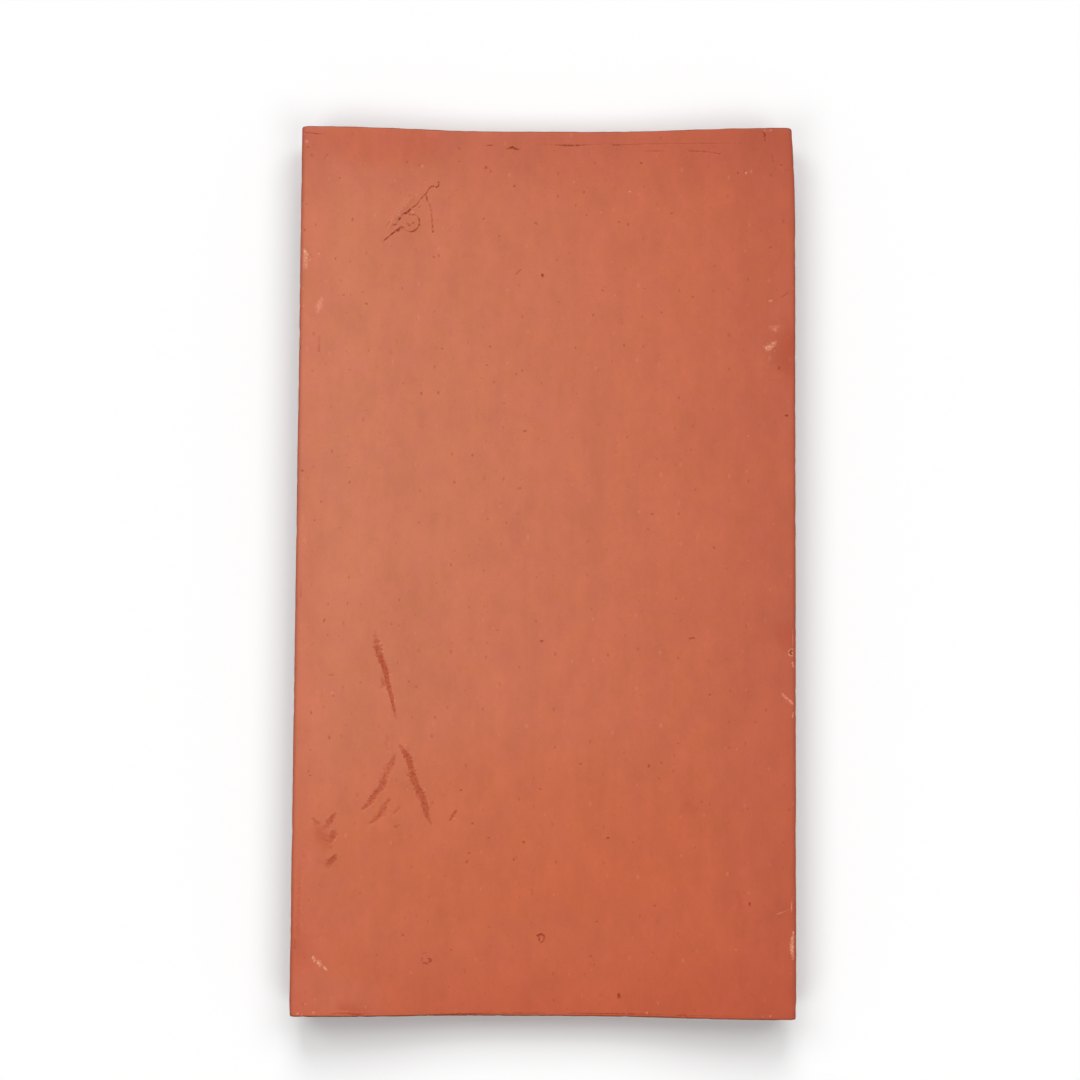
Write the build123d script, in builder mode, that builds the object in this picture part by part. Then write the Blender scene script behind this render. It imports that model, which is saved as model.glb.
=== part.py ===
from build123d import *
from math import atan, degrees, radians, sin
import os

# Clay roof tile, fired as one piece: a flat bed along the middle, with both long sides swept up to a rim.
# X runs across the tile, +Y towards its head, +Z up. The origin is the middle of the bed's underside.

# Driving dimensions, in millimetres
tile_length = 360.0  # head to tail
tile_width = 202.0  # across both rims
thickness = 15.0  # of the clay, square to its faces
dish_depth = 7.5  # rise of the rims above the bed
bed_width = 32.0  # flat strip along the middle
rim_land = 1.0  # flat strip between the sweep and the rounded long edge
face_arris = 3.0  # rounding of the long edges on the weather face
back_arris = 2.0  # rounding of the long edges on the underside
end_arris = 1.25  # rounding of the head and tail edges

# Each side rises through two equal arcs, first hollow and then round, that meet on a tangent.
rim_width = rim_land + max(face_arris, back_arris)
sweep_run = (tile_width - bed_width) / 2 - rim_width
sweep_angle = 2 * degrees(atan(dish_depth / sweep_run))
sweep_radius = sweep_run / (2 * sin(radians(sweep_angle)))  # along the middle of the clay
inner_radius = sweep_radius - thickness / 2
outer_radius = sweep_radius + thickness / 2

with BuildPart() as tile:
    with BuildSketch(Plane.XZ) as section:
        with BuildLine() as outline:
            # Underside, from the middle of the bed out to the rim
            bed = Line((0, 0), (bed_width / 2, 0))
            back_hollow = JernArc(bed @ 1, (1, 0), outer_radius, sweep_angle)
            back_round = JernArc(back_hollow @ 1, back_hollow % 1, inner_radius, -sweep_angle)
            back_rim = Line(back_round @ 1, (tile_width / 2, dish_depth))
            # Long edge
            side = Line(back_rim @ 1, (tile_width / 2, dish_depth + thickness))
            # Weather face, from the rim back to the middle
            face_rim = Line(side @ 1, (tile_width / 2 - rim_width, dish_depth + thickness))
            face_round = JernArc(face_rim @ 1, (-1, 0), outer_radius, sweep_angle)
            face_hollow = JernArc(face_round @ 1, face_round % 1, inner_radius, -sweep_angle)
            face_bed = Line(face_hollow @ 1, (0, thickness))
            mirror(about=Plane.YZ)
        make_face()
        across = section.vertices().group_by(Axis.X)
        edge_corners = across[0] + across[-1]
        fillet(edge_corners.group_by(Axis.Y)[-1], radius=face_arris)
        fillet(edge_corners.group_by(Axis.Y)[0], radius=back_arris)
    extrude(amount=tile_length / 2, both=True)

    # Head and tail edges, all the way round each end
    ends = tile.faces().filter_by(Axis.Y)
    fillet(ends.edges(), radius=end_arris)

tile.part.label = "tile"

os.makedirs("parts", exist_ok=True)
export_step(tile.part, "parts/tile.step")
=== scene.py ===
# %% [markdown]
# # A hand-made clay roof tile
#
# The tile is one piece of unglazed fired clay. A maker beats a flat bat of clay, strikes it smooth,
# presses it over a shallow mould and fires it, and everything that touched the soft clay on the way
# stays in it. This lesson follows the same order: a flat bat, the marks in it, the mould, and then the
# fired finish.
#
# Everything is in metres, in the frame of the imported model, so the tile needs no placing at the end.

# %% Load the frame
from math import atan, copysign, cos, pi, radians, sin

import bmesh
import bpy
import numpy as np
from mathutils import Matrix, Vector
from mathutils.kdtree import KDTree


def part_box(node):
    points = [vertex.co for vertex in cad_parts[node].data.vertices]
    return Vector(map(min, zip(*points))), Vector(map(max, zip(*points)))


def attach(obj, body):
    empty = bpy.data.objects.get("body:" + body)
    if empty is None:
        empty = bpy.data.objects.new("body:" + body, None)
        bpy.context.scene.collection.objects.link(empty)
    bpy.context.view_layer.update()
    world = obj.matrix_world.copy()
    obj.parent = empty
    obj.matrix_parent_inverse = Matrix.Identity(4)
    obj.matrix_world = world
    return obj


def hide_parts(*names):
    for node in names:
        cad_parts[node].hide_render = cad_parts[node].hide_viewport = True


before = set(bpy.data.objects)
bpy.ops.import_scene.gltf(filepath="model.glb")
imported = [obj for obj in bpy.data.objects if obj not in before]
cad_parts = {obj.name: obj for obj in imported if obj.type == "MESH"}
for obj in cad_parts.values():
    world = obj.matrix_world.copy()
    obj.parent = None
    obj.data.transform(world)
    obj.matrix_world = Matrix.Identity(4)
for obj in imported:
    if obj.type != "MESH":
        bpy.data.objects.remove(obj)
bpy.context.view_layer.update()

scene = bpy.context.scene
print("nodes in the frame:", sorted(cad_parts))

# %% [markdown]
# ## Sizes
#
# The outer sizes are read from the frame. The rest are the driving sizes of the section: a flat bed
# along the middle, then each side rises through two equal arcs, first hollow and then round, to a level
# rim. Keeping the section as a rule of a few numbers means that the visible tile and the solid agree
# exactly.

# %% Measure the tile
MM = 0.001
low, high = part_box("tile")
width = high.x - low.x
length = high.y - low.y
thickness = 15 * MM
dish_depth = high.z - low.z - thickness
bed_width = 32 * MM
face_arris = 3 * MM
back_arris = 2 * MM
end_arris = 1.25 * MM
rim_land = 1 * MM
rim_width = face_arris + rim_land
sweep_run = (width - bed_width) / 2 - rim_width
sweep_radius = sweep_run / (2 * sin(2 * atan(dish_depth / sweep_run)))
print(f"tile {width / MM:.1f} x {length / MM:.1f} mm, dished {dish_depth / MM:.1f} mm")
print(f"each side sweeps up over {sweep_run / MM:.1f} mm at R {sweep_radius / MM:.0f} mm")

# %% [markdown]
# ## Wiring nodes in Python
#
# Geometry and shader trees both grow long when every node takes four lines. Two small classes shorten
# them. A Board adds a node by its type, its settings and what goes into its sockets. A Wire is an
# output socket that takes Python arithmetic, so that `1 - mask * 0.5` adds the Math nodes by itself.

# %% Wires and boards
class Wire:
    """An output socket. Arithmetic on it adds Math nodes to its tree."""

    def __init__(self, board, socket):
        self.board = board
        self.socket = socket

    def output(self, name):
        """Another output of the same node."""
        return Wire(self.board, self.socket.node.outputs[name])

    def xyz(self):
        """The three parts of a vector."""
        parts = self.board.add("ShaderNodeSeparateXYZ", {}, {0: self})
        return [parts.output(axis) for axis in "XYZ"]

    def __add__(self, other):
        return self.board.math("ADD", self, other)

    def __radd__(self, other):
        return self.board.math("ADD", other, self)

    def __sub__(self, other):
        return self.board.math("SUBTRACT", self, other)

    def __rsub__(self, other):
        return self.board.math("SUBTRACT", other, self)

    def __mul__(self, other):
        return self.board.math("MULTIPLY", self, other)

    def __rmul__(self, other):
        return self.board.math("MULTIPLY", other, self)

    def __truediv__(self, other):
        return self.board.math("DIVIDE", self, other)

    def __rtruediv__(self, other):
        return self.board.math("DIVIDE", other, self)

    def __pow__(self, other):
        return self.board.math("POWER", self, other)

    def __neg__(self):
        return self.board.math("MULTIPLY", self, -1)

    def __abs__(self):
        return self.board.math("ABSOLUTE", self)


class Board:
    """A node tree, and the one method that adds nodes to it."""

    def __init__(self, tree):
        self.tree = tree

    def plug(self, socket, value):
        if isinstance(value, Wire):
            self.tree.links.new(value.socket, socket)
        else:
            socket.default_value = value

    def add(self, kind, settings=None, sockets=None, out=0):
        """Adds a node and gives one of its outputs as a wire, or the node itself where it has none."""
        node = self.tree.nodes.new(kind)
        node.location = (190 * len(self.tree.nodes), 0)
        for name, value in (settings or {}).items():
            setattr(node, name, value)
        for key, value in (sockets or {}).items():
            self.plug(node.inputs[key], value)
        return Wire(self, node.outputs[out]) if node.outputs else node

    def math(self, operation, *terms):
        return self.add("ShaderNodeMath", {"operation": operation}, dict(enumerate(terms)))

    def vector(self, operation, *terms, out="Vector"):
        return self.add("ShaderNodeVectorMath", {"operation": operation}, dict(enumerate(terms)), out)

    def scaled(self, vector, factor):
        return self.add("ShaderNodeVectorMath", {"operation": "SCALE"}, {0: vector, "Scale": factor})

    def largest(self, a, b):
        return self.math("MAXIMUM", a, b)

    def smallest(self, a, b):
        return self.math("MINIMUM", a, b)

    def smooth(self, value, start, end, low=0.0, high=1.0):
        """Goes from low to high as value goes from start to end, with a soft foot and shoulder."""
        sockets = {"Value": value, 1: start, 2: end, 3: low, 4: high}
        return self.add("ShaderNodeMapRange", {"interpolation_type": "SMOOTHSTEP"}, sockets)

    def mix(self, factor, a, b, blend="MIX"):
        """Colours a and b, mixed."""
        settings = {"data_type": "RGBA", "blend_type": blend, "clamp_factor": True}
        return self.add("ShaderNodeMix", settings, {0: factor, 6: a, 7: b}, out=2)

    def noise(self, where, size, detail=2.0, roughness=0.5):
        """Soft noise from 0 to 1 whose lumps are about size metres across."""
        sockets = {"Vector": where, "Scale": 1 / size, "Detail": detail, "Roughness": roughness}
        return self.add("ShaderNodeTexNoise", {}, sockets)

    def report(self, title):
        print(f"{title}: {len(self.tree.nodes)} nodes so far")


# %% [markdown]
# ## Geometry Nodes trees
#
# Each tree has named inputs for its sizes. A modifier takes them by the socket's identifier, so one
# helper builds the inputs and another sets them. Every tree that runs as a modifier ends in Realize
# Instances and Set Material, and the evaluated result is then kept as a plain mesh with no modifier left on
# it.

# %% Build and run a tree
FLOAT, INT, TEXT = "NodeSocketFloat", "NodeSocketInt", "NodeSocketString"
SHAPE, THING, FINISH = "NodeSocketGeometry", "NodeSocketObject", "NodeSocketMaterial"


def new_tree(name, inputs):
    """A geometry tree with one mesh in, one mesh out, and the named inputs as wires."""
    tree = bpy.data.node_groups.new(name, "GeometryNodeTree")
    tree.interface.new_socket("Mesh", in_out="INPUT", socket_type=SHAPE)
    for label, kind in inputs.items():
        tree.interface.new_socket(label, in_out="INPUT", socket_type=kind)
    tree.interface.new_socket("Mesh", in_out="OUTPUT", socket_type=SHAPE)
    board = Board(tree)
    first = board.add("NodeGroupInput")
    return board, {label: first.output(label) for label in ["Mesh", *inputs]}


def end_tree(board, shape, finish=None):
    """Ends a tree. A tree for a modifier realizes its instances and takes a material."""
    if finish is not None:
        shape = board.add("GeometryNodeRealizeInstances", {}, {0: shape})
        shape = board.add("GeometryNodeSetMaterial", {}, {"Geometry": shape, "Material": finish})
    board.add("NodeGroupOutput", {}, {"Mesh": shape})


def keep(board, shape, name, value):
    """Keeps a number on each point under a name."""
    settings = {"data_type": "FLOAT", "domain": "POINT"}
    sockets = {"Geometry": shape, "Name": name, "Value": value}
    return board.add("GeometryNodeStoreNamedAttribute", settings, sockets)


def move(board, shape, offset):
    return board.add("GeometryNodeSetPosition", {}, {"Geometry": shape, "Offset": offset})


def new_object(name, data):
    thing = bpy.data.objects.new(name, data)
    scene.collection.objects.link(thing)
    return thing


def run_tree(thing, board, values):
    """Runs a tree on an object and gives the result as a plain mesh."""
    modifier = thing.modifiers.new(board.tree.name, "NODES")
    modifier.node_group = board.tree
    items = board.tree.interface.items_tree
    sockets = {item.name: item.identifier for item in items if item.in_out == "INPUT"}
    for label, value in values.items():
        modifier[sockets[label]] = value
    depsgraph = bpy.context.evaluated_depsgraph_get()
    mesh = bpy.data.meshes.new_from_object(
        thing.evaluated_get(depsgraph), preserve_all_data_layers=True, depsgraph=depsgraph
    )
    thing.modifiers.remove(modifier)
    print(f"{board.tree.name}: {len(mesh.vertices)} points, {len(mesh.polygons)} faces")
    return mesh


clay = bpy.data.materials.new("fired_clay")

# %% [markdown]
# ## The flat bat
#
# The bat is a slab with rounded edges: the long edges are rounded more on the weather face than below,
# and the cut ends only a little. It could be a cube with bevels, but then its big faces would be single
# polygons that cannot take a mark. Here it is a stack of rings along the tile. Each ring is the rounded
# section, drawn in a little towards the ends, and a grid of faces closes each end.

# %% Section of the bat
CELL = 3 * MM
across = round((width - 2 * face_arris) / CELL)
face_steps, side_steps, back_steps, end_steps = 6, 4, 4, 4


def half_edge():
    """Points and outward normals down the right edge, from the weather face to the underside."""
    rows = []
    for step in range(face_steps + 1):
        turn = pi / 2 * (1 - step / face_steps)
        rows.append((width / 2 - face_arris, thickness / 2 - face_arris, face_arris, turn))
    top = thickness / 2 - face_arris
    bottom = back_arris - thickness / 2
    for step in range(1, side_steps):
        rows.append((width / 2, top + (bottom - top) * step / side_steps, 0.0, 0.0))
    for step in range(back_steps + 1):
        turn = -pi / 2 * step / back_steps
        rows.append((width / 2 - back_arris, bottom, back_arris, turn))
    points = [(x + r * cos(turn), z + r * sin(turn)) for x, z, r, turn in rows]
    normals = [(cos(turn), sin(turn)) for x, z, r, turn in rows]
    return np.array(points), np.array(normals)


edge, edge_normal = half_edge()
drop = len(edge) - 1
flip = np.array([-1.0, 1.0])
share = np.linspace(-1, 1, across + 1)[1:-1, None]
face_row = edge[0] * np.hstack([share, np.ones_like(share)])
back_row = edge[-1] * np.hstack([-share, np.ones_like(share)])
up = np.tile([0.0, 1.0], (across - 1, 1))
section = np.vstack([edge[:1] * flip, face_row, edge, back_row, edge[:0:-1] * flip])
section_normal = np.vstack([edge_normal[:1] * flip, up, edge_normal, -up, edge_normal[:0:-1] * flip])
around = len(section)
print("points round the section:", around)

# %% Rings and ends
straight = length / 2 - end_arris
turns = [pi / 2 * (1 - step / end_steps) for step in range(end_steps)]
tail = [(-straight - end_arris * sin(turn), end_arris * (1 - cos(turn))) for turn in turns]
middle = [(y, 0.0) for y in np.linspace(-straight, straight, round(2 * straight / CELL) + 1)]
head = [(-y, inset) for y, inset in reversed(tail)]
stations = tail + middle + head


def ring(y, inset):
    """The section at y. It is drawn in less at the long edges, so that the corners stay crisp."""
    flat = section - inset * section_normal * (0.5, 1.0)
    return np.column_stack([flat[:, 0], np.full(around, y), flat[:, 1]])


def end_grid(loop):
    """Fills a ring with a grid of points between its face, its underside and its two edges."""
    face = loop[: across + 1]
    back = loop[across + drop : 2 * across + drop + 1][::-1]
    right = loop[across : across + drop + 1]
    left = np.vstack([loop[:1], loop[2 * across + drop :][::-1]])
    u = np.linspace(0, 1, across + 1)[:, None, None]
    v = np.linspace(0, 1, drop + 1)[None, :, None]
    sides = (1 - v) * face[:, None] + v * back[:, None] + (1 - u) * left[None] + u * right[None]
    corners = (1 - u) * ((1 - v) * face[0] + v * back[0]) + u * ((1 - v) * face[-1] + v * back[-1])
    return sides - corners


bat = bmesh.new()
rings = []
for y, inset in stations:
    rings.append([bat.verts.new(point) for point in ring(y, inset)])
for near, far in zip(rings, rings[1:]):
    for here in range(around):
        there = (here + 1) % around
        bat.faces.new((near[here], near[there], far[there], far[here]))
for loop, station in ((rings[0], stations[0]), (rings[-1], stations[-1])):
    grid = end_grid(ring(*station))
    cells = {}
    for i in range(across + 1):
        for k in range(drop + 1):
            if k == 0:
                cells[i, k] = loop[i]
            elif k == drop:
                cells[i, k] = loop[2 * across + drop - i]
            elif i == 0:
                cells[i, k] = loop[around - k]
            elif i == across:
                cells[i, k] = loop[across + k]
            else:
                cells[i, k] = bat.verts.new(grid[i, k])
    for i in range(across):
        for k in range(drop):
            bat.faces.new((cells[i, k], cells[i + 1, k], cells[i + 1, k + 1], cells[i, k + 1]))
bmesh.ops.recalc_face_normals(bat, faces=bat.faces)
bat.normal_update()
open_edges = sum(not edge.is_manifold for edge in bat.edges)
print("flat bat:", len(bat.verts), "points,", len(bat.faces), "faces,", open_edges, "open edges")

# %% [markdown]
# ## Which way the clay faces
#
# The sides were cut with a wire and the underside lay on sand, so they look different from the struck
# face. The flat bat knows best which is which, because nothing is bent yet. Two numbers on each point
# keep it.

# %% Sides and underside
cut_side = bat.verts.layers.float.new("cut_side")
underside = bat.verts.layers.float.new("underside")
for vert in bat.verts:
    vert[cut_side] = 1 - abs(vert.normal.z)
    vert[underside] = max(0.0, -vert.normal.z)
print("points on the sides:", sum(vert[cut_side] > 0.5 for vert in bat.verts))

# %% [markdown]
# ## Camera
#
# The photograph looks down on the tile from a little below its middle. These numbers were fitted to the
# tile's outline, so no shift is needed. The camera comes this early because the marks in the clay were
# read off the photograph, and a ray from the camera tells where on the flat bat each of them lies.

# %% Camera
PHOTO = 1080
camera = new_object("camera", bpy.data.cameras.new("camera"))
camera.location = (7.8 * MM, -48.8 * MM, 880.9 * MM)
camera.rotation_euler = (radians(3.964), radians(0.641), radians(0.395))
camera.data.sensor_width = 36
camera.data.lens = 71.26
camera.data.clip_start = 0.01
camera.data.clip_end = 50
scene.camera = camera
eye = camera.location
focal = PHOTO * camera.data.lens / camera.data.sensor_width
pixel = (eye.z - thickness) / focal
print(f"one pixel of the photograph is about {pixel / MM:.3f} mm of the tile")

# %% From the photograph to the flat bat
PASSES = 8


def bend(flat_x):
    """How far the mould lifts the clay at a place on the flat bat, and the sine of its slope there."""
    along = min(max(abs(flat_x) - bed_width / 2, 0.0), sweep_run)
    slope = min(along, sweep_run - along) / sweep_radius
    rise = sweep_radius * (1 - (1 - slope * slope) ** 0.5)
    if along > sweep_run / 2:
        rise = dish_depth - rise
    return rise, copysign(slope, flat_x)


def on_bat(px, py):
    """The place on the flat bat that the photograph shows at a pixel. Each pass comes closer to it."""
    view = Vector((px + 0.5 - PHOTO / 2, PHOTO / 2 - py - 0.5, -focal))
    ray = camera.rotation_euler.to_matrix() @ view
    flat_x = 0.0
    for closer in range(PASSES):
        rise, slope = bend(flat_x)
        level = thickness / 2 * (1 + (1 - slope * slope) ** 0.5) + rise
        away = (level - eye.z) / ray.z
        flat_x = eye.x + away * ray.x + thickness / 2 * slope
    return flat_x, eye.y + away * ray.y


middle_x, middle_y = on_bat(PHOTO / 2, PHOTO / 2)
print(f"the photograph's middle shows the bat at {middle_x / MM:.1f}, {middle_y / MM:.1f} mm")

# %% [markdown]
# ## Strokes in the soft clay
#
# A bird walked over the tile, something folded the clay near the head, and the striker left lines along
# the head edge. Each is a stroke: a path with a width and a depth that change along it. They could be
# cut with booleans, but clay is pushed, not cut. So each path only carries its numbers, a tree makes a
# dense trail of points from it, and the clay near the trail is pushed down later.
#
# The points were read off the photograph. Each has its two pixel coordinates there, the width of
# the mark in pixels, and a depth in millimetres that was judged from the shading.

# %% The bird's foot
foot_print = [
    [(375.2, 630.7, 2.5, 0.12), (375.4, 638.6, 5.5, 0.25), (377.6, 648.8, 8.5, 0.34),
     (379.6, 655.9, 7.5, 0.38), (382.3, 662.1, 6.3, 0.42), (384.8, 670.0, 6.0, 0.45),
     (387.0, 682.6, 4.8, 0.42), (390.2, 693.6, 4.0, 0.40), (392.4, 703.0, 3.6, 0.36),
     (394.6, 712.4, 2.8, 0.30), (396.1, 718.7, 1.5, 0.20)],
    [(382.4, 679.0, 3.5, 0.22), (382.8, 685.0, 4.5, 0.26)],
    [(399.9, 745.0, 2.0, 0.25), (402.4, 750.0, 4.5, 0.34), (405.6, 753.6, 6.2, 0.42),
     (409.6, 763.6, 6.8, 0.42), (412.0, 772.1, 7.0, 0.40), (414.1, 782.1, 7.2, 0.45),
     (419.6, 792.1, 7.2, 0.46), (422.7, 799.3, 7.0, 0.45), (425.3, 809.3, 6.6, 0.40),
     (427.1, 816.4, 4.8, 0.36), (430.7, 823.6, 2.0, 0.20)],
    [(394.1, 756.4, 4.5, 0.20), (392.0, 762.1, 7.2, 0.26), (387.4, 769.3, 6.8, 0.24),
     (384.6, 776.4, 6.8, 0.28), (382.7, 783.6, 7.2, 0.30), (378.9, 789.3, 6.6, 0.32),
     (373.1, 796.4, 5.8, 0.32), (368.4, 803.6, 5.0, 0.32), (361.7, 809.3, 3.0, 0.22)],
    [(388.9, 799.6, 3.0, 0.20), (384.1, 805.0, 5.2, 0.24), (381.0, 812.9, 7.0, 0.26),
     (375.3, 818.6, 4.8, 0.28), (370.3, 822.4, 3.0, 0.22)],
    [(398.4, 808.1, 3.4, 0.20), (393.6, 812.9, 3.0, 0.20)],
    [(398.1, 825.3, 3.4, 0.18), (395.3, 827.1, 3.8, 0.20)],
    [(386.0, 735.8, 3.2, 0.13), (387.4, 739.6, 3.4, 0.15)],
    [(385.6, 743.6, 3.4, 0.14), (387.4, 750.0, 3.4, 0.14)],
    [(455.4, 810.6, 2.6, 0.28), (452.6, 815.2, 3.2, 0.32), (450.0, 819.4, 2.6, 0.26)],
]
heel_marks = [
    [(334.9, 813.1, 3.0, 0.24), (332.2, 817.1, 4.6, 0.34), (328.8, 821.7, 5.6, 0.30),
     (324.2, 828.6, 5.0, 0.18)],
    [(312.2, 818.3, 2.6, 0.18), (315.1, 821.7, 4.6, 0.26), (318.0, 824.0, 3.5, 0.15)],
    [(333.9, 831.4, 4.6, 0.26), (332.2, 835.4, 8.4, 0.42), (329.9, 840.6, 6.0, 0.28)],
    [(335.1, 854.9, 3.0, 0.24), (332.2, 858.9, 6.6, 0.42), (328.8, 863.4, 6.6, 0.32),
     (327.1, 866.3, 4.0, 0.20)],
]
print("strokes in the foot print:", len(foot_print) + len(heel_marks))

# %% The fold near the head
fold = [
    [(398.8, 219.7, 1.3, 0.42), (399.9, 216.9, 1.5, 0.45), (402.0, 214.0, 1.5, 0.45),
     (404.3, 213.2, 1.5, 0.45), (407.1, 212.1, 2.3, 0.75), (409.4, 209.4, 1.5, 0.50),
     (412.1, 207.1, 1.2, 0.35), (415.7, 204.9, 1.5, 0.45), (418.6, 200.9, 1.2, 0.32),
     (421.4, 197.4, 1.3, 0.38), (425.1, 193.8, 1.7, 0.42), (427.7, 189.7, 1.3, 0.32),
     (429.7, 187.1, 1.7, 0.42), (432.3, 186.0, 1.7, 0.45), (435.7, 186.8, 1.5, 0.38),
     (438.3, 184.9, 1.7, 0.42), (438.1, 181.2, 1.2, 0.20)],
    [(425.7, 195.4, 1.8, 0.32), (427.1, 199.9, 2.2, 0.25), (429.7, 205.4, 2.4, 0.24),
     (431.1, 212.3, 2.4, 0.22), (431.7, 219.1, 2.4, 0.22), (432.3, 227.1, 2.6, 0.26),
     (432.4, 231.1, 3.0, 0.28)],
    [(408.9, 214.3, 1.4, 0.28), (412.9, 214.3, 1.6, 0.28), (416.9, 215.9, 1.7, 0.34),
     (419.1, 219.7, 1.9, 0.36), (418.6, 225.4, 1.9, 0.36), (415.1, 229.7, 1.8, 0.38),
     (410.0, 231.4, 1.6, 0.34), (404.9, 230.3, 1.4, 0.28)],
    [(400.8, 228.0, 4.4, 0.95), (398.0, 229.4, 3.0, 0.80), (394.6, 231.1, 1.6, 0.50),
     (391.7, 233.5, 1.8, 0.50), (388.9, 235.7, 1.1, 0.35), (386.0, 238.0, 1.4, 0.42),
     (383.1, 240.6, 1.1, 0.32), (380.9, 242.6, 0.8, 0.20)],
    [(385.4, 226.6, 1.4, 0.22), (388.3, 222.0, 1.4, 0.24), (391.7, 219.1, 1.6, 0.28),
     (394.6, 215.1, 1.4, 0.24), (398.0, 209.4, 1.4, 0.22), (402.0, 204.3, 1.5, 0.28),
     (406.6, 198.6, 1.4, 0.22), (409.4, 194.9, 1.6, 0.30), (413.4, 194.2, 1.4, 0.24)],
    [(393.0, 224.6, 1.6, 0.30), (396.0, 224.0, 1.4, 0.26)],
    [(402.6, 205.6, 1.5, 0.30), (405.0, 206.2, 1.4, 0.26)],
]
swells = [
    [(411.0, 222.5, 17.0, -0.15), (414.5, 224.5, 17.0, -0.15)],
    [(388.0, 226.8, 6.0, -0.20), (395.5, 217.0, 10.0, -0.45), (402.5, 206.0, 10.0, -0.45),
     (412.0, 196.0, 8.0, -0.25)],
    [(316.3, 827.0, 12.0, 0.16), (321.0, 836.5, 17.0, 0.26), (326.5, 845.0, 11.0, 0.18)],
    [(321.9, 862.3, 9.0, 0.12), (326.0, 864.0, 8.0, 0.12)],
    [(785.7, 633.0, 8.0, 0.20), (785.9, 638.0, 8.0, 0.18)],
    [(786.0, 316.0, 8.0, 0.10), (788.0, 345.0, 13.0, 0.20), (786.0, 364.0, 13.0, 0.18),
     (787.0, 386.0, 9.0, 0.10)],
    [(738.0, 884.0, 6.0, 0.16), (739.5, 912.0, 6.0, 0.18)],
    [(685.0, 803.0, 12.0, 0.12), (691.0, 810.0, 15.0, 0.16)],
    [(340.0, 1008.0, 8.0, 0.20), (356.0, 1010.0, 10.0, 0.24), (366.0, 1009.0, 7.0, 0.14)],
    [(520.0, 1002.0, 9.0, 0.14), (531.0, 1004.0, 8.0, 0.16)],
]
print("strokes in the fold:", len(fold), "broad swells and hollows:", len(swells))

# %% Lines along the ends and the rims
head_lines = [
    [(486.0, 145.2, 1.2, 0.18), (489.0, 144.9, 1.6, 0.30), (494.0, 144.6, 1.2, 0.18)],
    [(506.5, 148.6, 1.4, 0.32), (510.0, 147.4, 2.0, 0.50), (512.0, 146.9, 2.4, 0.65),
     (514.5, 148.3, 1.9, 0.50), (520.3, 149.1, 1.2, 0.20)],
    [(539.3, 143.8, 1.1, 0.10), (552.0, 144.6, 1.2, 0.18), (561.6, 144.9, 1.5, 0.30),
     (572.0, 145.2, 1.7, 0.36), (583.7, 144.7, 1.4, 0.26), (600.0, 144.0, 1.1, 0.14),
     (611.0, 143.9, 1.1, 0.14), (614.0, 144.8, 1.7, 0.36), (621.5, 144.5, 1.4, 0.24),
     (646.0, 143.6, 1.2, 0.18), (698.0, 143.1, 1.2, 0.18), (745.0, 143.0, 1.1, 0.12)],
    [(643.8, 151.0, 1.3, 0.20), (654.0, 150.6, 1.4, 0.22), (663.5, 151.0, 1.2, 0.16)],
    [(688.0, 150.6, 1.3, 0.22), (705.0, 151.4, 1.4, 0.24), (720.0, 153.6, 1.3, 0.20)],
    [(764.3, 131.4, 1.6, 0.26), (766.8, 134.0, 2.6, 0.34), (766.6, 138.5, 2.0, 0.30),
     (767.4, 142.7, 1.3, 0.20)],
    [(772.9, 154.3, 1.4, 0.16), (774.3, 161.4, 1.5, 0.20)],
    [(783.6, 170.3, 1.3, 0.14), (790.7, 170.0, 1.3, 0.14)],
    [(304.2, 132.6, 1.8, 0.36), (312.0, 132.9, 1.6, 0.32), (324.1, 134.0, 1.2, 0.20)],
    [(327.0, 154.2, 1.3, 0.18), (325.0, 156.6, 1.5, 0.22), (324.2, 159.3, 1.4, 0.18)],
]
tail_lines = [
    [(428.0, 1014.6, 1.2, 0.20), (446.0, 1014.2, 1.5, 0.30), (468.0, 1013.9, 1.7, 0.40),
     (490.0, 1013.2, 1.2, 0.24), (520.0, 1012.9, 1.3, 0.28), (548.0, 1013.0, 1.1, 0.18)],
    [(566.0, 1013.1, 1.2, 0.22), (590.0, 1013.5, 1.3, 0.28), (622.0, 1014.0, 1.5, 0.34),
     (650.0, 1014.6, 1.2, 0.22), (668.0, 1015.0, 1.2, 0.18)],
    [(690.0, 1016.0, 1.3, 0.24), (716.0, 1016.6, 1.2, 0.20), (742.0, 1016.9, 1.1, 0.16)],
    [(330.0, 1013.6, 1.3, 0.24), (352.0, 1013.2, 1.5, 0.30), (372.0, 1013.6, 1.2, 0.20)],
]
rim_lines = [
    [(298.6, 850.0, 4.5, 0.05), (298.2, 880.0, 5.5, 0.14), (297.8, 905.0, 6.0, 0.16),
     (297.2, 935.0, 5.5, 0.14), (297.0, 965.0, 4.5, 0.06)],
    [(318.7, 336.0, 2.2, 0.16), (318.5, 351.0, 2.6, 0.22)],
    [(300.2, 584.0, 2.4, 0.16), (299.6, 597.0, 2.4, 0.20)],
    [(329.0, 675.0, 1.6, 0.20), (333.0, 675.0, 1.6, 0.20)],
    [(293.9, 940.0, 1.5, 0.26), (293.5, 948.0, 1.8, 0.30)],
    [(337.0, 1013.4, 2.4, 0.20), (346.0, 1014.0, 3.2, 0.30), (357.8, 1014.6, 3.0, 0.45),
     (363.5, 1013.4, 2.2, 0.20)],
    [(463.0, 1013.6, 1.5, 0.25), (467.0, 1014.0, 2.0, 0.32)],
    [(676.0, 1016.0, 2.2, 0.26), (685.0, 1016.4, 2.4, 0.30)],
]
print("lines along the ends:", len(head_lines) + len(tail_lines), "and along the rims:", len(rim_lines))
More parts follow.
